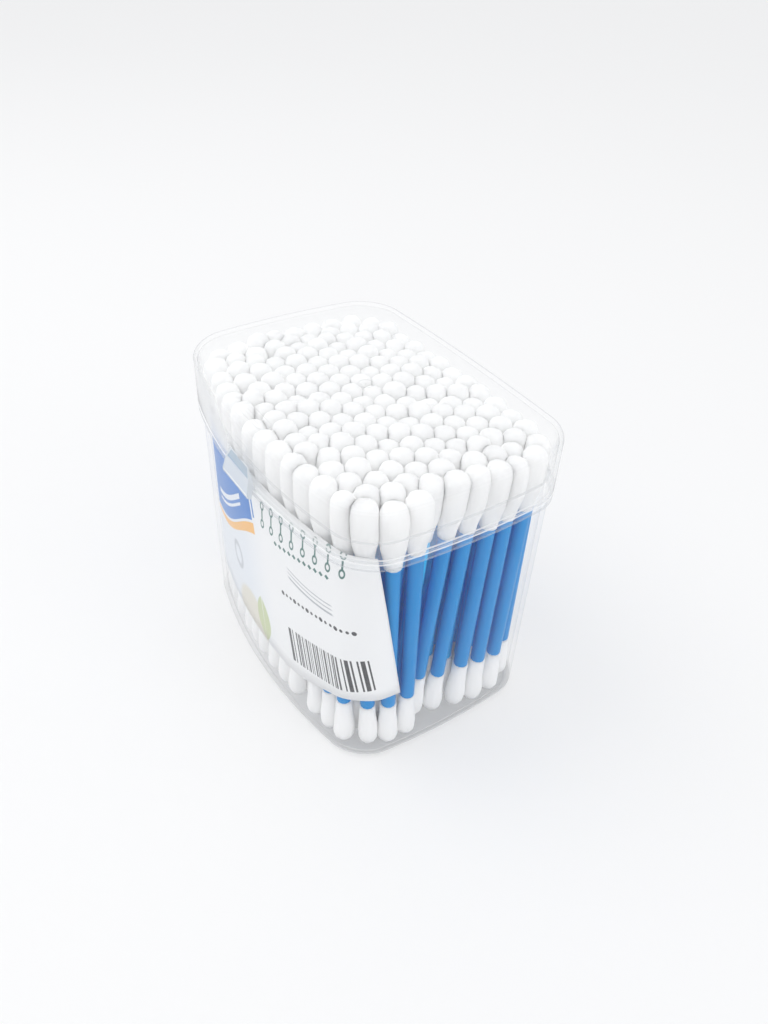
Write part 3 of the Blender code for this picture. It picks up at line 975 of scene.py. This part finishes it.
def moulding_finishes(clear):
    """The clear plastic, its ledges and thick places where it looks paler or greyer, and places where light
    and shade are
    painted into it: highlight lines on rounded edges and along the foot, shade lines under the flange and on
    the rim, shade in the tab's slot, a grey band on the lid's round top edge and the shadow on the tub's
    floor. Each has a name, its haze facing the eye and at its edges, its colour there, and its share of grey
    contour."""
    return [
        clear,
        # Painted highlight lines on rounded edges
        clear_finish("painted_highlight_edge", 0.72, 0.20, (0.95, 0.955, 0.96), (0.95, 0.955, 0.96)),
        # Painted shade lines under the flange and on the rim
        clear_finish("painted_shade_line", 0.26, 0.30, (0.52, 0.54, 0.57), (0.52, 0.54, 0.57)),
        clear_finish("pale_ledge", 0.12, 0.35, (0.82, 0.86, 0.91), (0.86, 0.88, 0.90)),
        # Painted shade along the lid's rounded top edge
        clear_finish("round_edge_painted_shade", 0.045, 0.60, (0.70, 0.71, 0.73), (0.48, 0.49, 0.51), 0.70),
        # Painted shadow of the swabs on the tub's floor, over a little haze, deeper towards the right
        clear_finish("floor_haze_and_painted_shadow", 0.09, 0.35, (0.36, 0.38, 0.41), (0.60, 0.62, 0.65), 0.15, 0.34),
        # Painted highlight along the base's rounded foot
        clear_finish("foot_painted_highlight", 0.20, 0.50, (0.92, 0.93, 0.94), (0.97, 0.975, 0.98), 0.04),
        clear_finish("tab_plastic", 0.66, 0.25, (0.76, 0.80, 0.84), (0.90, 0.92, 0.93)),
        # Painted shade in the tab's slot
        clear_finish("tab_slot_painted_shade", 0.72, 0.20, (0.40, 0.50, 0.60), (0.55, 0.63, 0.70)),
        clear_finish("mark_plastic", 0.08, 0.50, (0.72, 0.73, 0.75), (0.62, 0.63, 0.65)),
    ]


def cotton_finish():
    """Wound cotton: fine fibres and soft folds, matt, a warm white."""
    cotton = Finish(
        "cotton", Roughness=0.95, Sheen_Weight=0.45, Sheen_Roughness=0.6, Subsurface_Weight=1.0,
        Subsurface_Radius=(1.0, 0.99, 0.97), Subsurface_Scale=0.0040, Specular_IOR_Level=0.15,
    )
    place = cotton.object_place()
    fibres = cotton.speckle(place, 2600.0, 3.0, 0.6)
    folds = cotton.speckle(place, 520.0)
    colour = cotton.blend(folds, (0.972, 0.970, 0.965), (0.988, 0.987, 0.984))
    cotton.set("Base Color", colour)
    cotton.relief(folds + fibres * 0.45, 0.35, 0.00035)
    return cotton


def stick_finish(name, shade, light):
    """Smooth moulded plastic in a clear mid blue that lets some light through."""
    blue = Finish(
        name, Roughness=0.34, IOR=1.38, Subsurface_Weight=0.12, Subsurface_Radius=(0.4, 0.8, 1.0),
        Subsurface_Scale=0.0010, Specular_IOR_Level=0.22,
    )
    place = blue.object_place()
    cloud = blue.speckle(place, 160.0)
    blue.set("Base Color", blue.blend(cloud, shade, light))
    grain = blue.speckle(place, 1800.0)
    blue.set("Roughness", 0.28 + grain * 0.14)
    blue.relief(grain, 0.06, 0.0001)
    return blue


def paper_finish():
    """Smooth white paper with a plain print of its own: fields, waves, swabs, dots, bars and a leaf."""
    paper = Finish("label_paper", Roughness=0.5, IOR=1.45)
    grain = paper.speckle(paper.object_place(), 1500.0, 3.0)
    flat = paper.add("ShaderNodeUVMap", {"uv_map": "flat"})
    split = paper.add("ShaderNodeSeparateXYZ", None, {"Vector": flat})
    height = split.sibling("Y") * PRINT_SCALE
    across = (split - 0.5) * PRINT_SCALE
    along = across + (height - PRINT_CENTRE[1]) * PRINT_LEAN
    level = height - (across - PRINT_CENTRE[0]) * PRINT_LEAN
    colour = paper.blend(grain, (0.90, 0.905, 0.915), (0.93, 0.935, 0.945))
    for mask, ink in (
        (print_wash(along), PALE_BLUE_INK),
        (print_hill(along, level), BEIGE_INK),
        (print_leaf(along, level), LEAF_INK),
        (print_drop(along, level), GREY_INK),
        (print_field(along, level) * height.under(FIELD_TOP), BLUE_INK),
        (print_band(along, level), ORANGE_INK),
        (print_swabs(along, level).largest(print_lozenges(along, level)), GREEN_INK),
        (print_arcs(along, level), GREY_INK),
        (print_dots(along, level), DARK_INK),
        (print_bars(along, level), DARK_INK),
    ):
        colour = paper.blend(mask * (0.93 + grain * 0.07), colour, ink)
    paper.set("Base Color", colour)
    paper.set("Roughness", 0.46 + grain * 0.08)
    paper.relief(grain, 0.05, 0.0001)
    return paper


# Print: each part is 1 where its ink is. Lengths are in millimetres, along a row and up

def wave(along):
    """The height of the blue field's lower edge: a swell on a slope."""
    swell = (along * 0.14 + 0.9).sine() * 2.0
    slope = (along + 10.0) * 0.24
    return swell + slope + 48.6


def print_wash(along):
    """A pale blue ground that fades out towards the middle."""
    end = 2.0
    fade = 14.0
    return along.under(end, fade) * 0.75


def print_field(along, level):
    """The blue field over a wave, cut off at its end, with two thin waves left white, and a stripe."""
    end = 4.2
    line_start = -24.0
    line_end = -3.0
    stripe_start = 5.1
    stripe_end = 5.9
    rise = level - wave(along)
    field = rise.over(0.0) * along.under(end)
    lines = rise.beside(4.2, 0.45) + rise.beside(6.4, 0.8)
    stripe = rise.over(1.0) * along.within(stripe_start, stripe_end)
    return (field * (1 - lines * along.within(line_start, line_end))).largest(stripe)


def print_band(along, level):
    """An orange band under the wave, wider towards its right end."""
    end = 4.6
    gap = 0.8
    growth = 0.062
    rise = level - wave(along)
    width = (along + 45.0) * growth
    return rise.under(-gap) * (rise + width).over(-1.0) * along.under(end)


def print_swabs(along, level):
    """A row of leaning swabs in outline."""
    start = 9.0
    end = 44.2
    pitch = 4.4
    lean = 0.26
    half_width = 0.27
    half_length = 1.9
    tip_centre = 2.7
    up = level - 58.6
    across = (along - start).remainder(pitch) - pitch / 2 - up * lean
    reach = up.absolute()
    stick = across.beside(0.0, half_width) * reach.under(half_length)
    far = reach - tip_centre
    oval = across * across * 1.25 + far * far * 0.50
    tip = oval.under(1.0, 0.3) * oval.over(0.30, 0.2)
    return stick.largest(tip) * along.within(start, end)


def print_lozenges(along, level):
    """A row of small lozenges under the swabs."""
    start = 15.0
    end = 37.0
    pitch = 2.0
    half_size = 0.72
    across = (along - start).remainder(pitch) - pitch / 2
    away = across.absolute() + (level - 52.9).absolute()
    return away.under(half_size, 0.2) * along.within(start, end)


def print_arcs(along, level):
    """Three thin arcs that fall to the right."""
    start = 20.0
    end = 36.0
    fall = end - along
    rise = level - fall * fall * 0.012 - 42.4
    arcs = rise.beside(0.0, 0.30) + rise.beside(1.4, 0.16) + rise.beside(2.6, 0.16)
    return arcs * along.within(start, end, 1.0) * 0.8


def print_dots(along, level):
    """A row of dots, every third one larger."""
    start = 15.0
    end = 42.2
    pitch = 1.7
    radius = 0.46
    growth = 0.18
    across = (along - start).remainder(pitch) - pitch / 2
    up = level - 38.8
    size = (along - start).remainder(3 * pitch).under(pitch) * growth + radius
    away = across * across + up * up
    return (away - size * size).under(0.0, 0.15) * along.within(start, end)


def print_bars(along, level):
    """Plain upright bars of uneven widths, which stand for nothing."""
    start = 15.0
    end = 44.0
    foot = 16.4
    top = 27.0
    climb = 0.07
    beat = (along * 4.4).sine() + (along * 7.3 + 1.0).sine() + (along * 1.7).sine() * 0.5
    row = (level - along * climb).within(foot, top)
    return beat.over(0.15, 0.5) * along.within(start, end) * row


def print_hill(along, level):
    """A soft beige hill in the lower left."""
    across = along + 7.0
    up = level - 18.5
    away = across * across * 0.012 + up * up * 0.012
    return away.under(1.0, 0.35) * 0.9


def print_leaf(along, level):
    """One leaf, where two circles cross, with a pale vein."""
    apart = 5.6
    radius_squared = 84.0
    across = along - 1.2
    up = level - 22.5
    left = across + apart
    right = across - apart
    in_left = (left * left + up * up).under(radius_squared, 2.0)
    in_right = (right * right + up * up).under(radius_squared, 2.0)
    return in_left * in_right * (1 - across.beside(up * 0.06, 0.22) * 0.6)


def print_drop(along, level):
    """A soft grey ring, higher than it is wide, at the left."""
    across = along + 12.0
    up = level - 36.0
    away = across * across * 0.085 + up * up * 0.050
    return away.under(1.0, 0.2) * away.over(0.40, 0.3) * 0.55


def floor_finish():
    """Pale and matt. The camera and the gloss see part of it as plain white, with the shadow kept."""
    ground = Finish("pale_floor", Roughness=0.7)
    place = ground.object_place()
    cloud = ground.speckle(place, 3.0)
    ground.set("Base Color", ground.blend(cloud, (0.815, 0.815, 0.82), (0.83, 0.83, 0.835)))
    glow = ground.rays_that_see() * FLOOR_GLOW
    plain = ground.add("ShaderNodeEmission", None, {"Color": (0.985, 0.985, 0.99), "Strength": 1.0})
    body = Signal(ground, ground.shader.outputs[0])
    mixed = ground.add("ShaderNodeMixShader", None, {0: glow, 1: body, 2: plain})
    ground.feed(ground.tree.nodes["Material Output"].inputs["Surface"], mixed)
    return ground


# Studio

def make_floor():
    bm = bmesh.new()
    bmesh.ops.create_grid(bm, x_segments=1, y_segments=1, size=FLOOR_SIZE)
    mesh = bpy.data.meshes.new("floor")
    bm.to_mesh(mesh)
    bm.free()
    mesh.materials.append(floor_finish().material)
    floor = bpy.data.objects.new("floor", mesh)
    bpy.context.scene.collection.objects.link(floor)


def make_lamp(name, place, size, power):
    light = bpy.data.lights.new(name, "AREA")
    light.shape = "DISK"
    light.size = size
    light.energy = power
    lamp = bpy.data.objects.new(name, light)
    lamp.location = place
    lamp.rotation_mode = "QUATERNION"
    lamp.rotation_quaternion = (Vector(LAMP_AIM) - Vector(place)).to_track_quat("-Z", "Y")
    bpy.context.scene.collection.objects.link(lamp)


def make_world():
    """An even pale sky, which the camera and the gloss see as nearly white."""
    world = bpy.data.worlds.new("studio")
    bpy.context.scene.world = world
    world.use_nodes = True
    sky = Nodes(world.node_tree)
    light = sky.tree.nodes["Background"]
    light.inputs["Color"].default_value = (0.98, 0.99, 1.0, 1)
    light.inputs["Strength"].default_value = SKY_STRENGTH
    seen = sky.add("ShaderNodeBackground", None, {"Color": (0.935, 0.94, 0.955), "Strength": 1.0})
    inputs = {0: sky.rays_that_see(), 1: Signal(sky, light.outputs[0]), 2: seen}
    mixed = sky.add("ShaderNodeMixShader", None, inputs)
    sky.feed(sky.tree.nodes["World Output"].inputs["Surface"], mixed)


def make_camera():
    azimuth = math.radians(CAMERA_AZIMUTH)
    elevation = math.radians(CAMERA_ELEVATION)
    roll = math.radians(CAMERA_ROLL)
    back = Vector((math.sin(azimuth), -math.cos(azimuth), 0)) * math.cos(elevation)
    back.z = math.sin(elevation)
    right = Vector((math.cos(azimuth), math.sin(azimuth), 0))
    up = back.cross(right)
    across = right * math.cos(roll) + up * math.sin(roll)
    over = up * math.cos(roll) - right * math.sin(roll)
    camera = bpy.data.objects.new("camera", bpy.data.cameras.new("camera"))
    camera.data.lens = CAMERA_LENS
    camera.data.clip_start = 0.01
    turn = Matrix((across, over, back)).transposed().to_4x4()
    camera.matrix_world = Matrix.Translation(CAMERA_PLACE) @ turn
    bpy.context.scene.collection.objects.link(camera)
    bpy.context.scene.camera = camera


def make_studio():
    make_floor()
    make_world()
    make_camera()
    for lamp in LAMPS:
        make_lamp(*lamp)
    bpy.context.scene.view_settings.view_transform = "Standard"
    bpy.context.scene.cycles.transparent_max_bounces = TRANSPARENT_BOUNCES
    bpy.context.scene.cycles.diffuse_bounces = DIFFUSE_BOUNCES


# The walls pale towards their edges with haze and a painted reflection; the lid's edges and contour are
# greyer, painted shade.
wall_plastic = clear_finish("clear_plastic", 0.016, 0.26, (0.80, 0.81, 0.83), (0.95, 0.955, 0.965), 0.08)
lid_plastic = clear_finish("lid_plastic", 0.095, 0.70, (0.95, 0.95, 0.945), (0.84, 0.85, 0.87), 0.70)
make_tub(moulding_finishes(wall_plastic))
make_lid(moulding_finishes(lid_plastic))
ring_blue = stick_finish("stick_blue", (0.018, 0.270, 0.65), (0.024, 0.295, 0.69))
# A brighter copy of the sticks' blue for the inner swabs: painted light for the light that passes through
# the translucent ring sticks.
inner_blue_painted_light = stick_finish("inner_stick_painted_light", (0.040, 0.540, 0.97), (0.046, 0.570, 0.98))
make_swabs(cotton_finish(), [ring_blue, inner_blue_painted_light])
make_label(paper_finish())
make_studio()
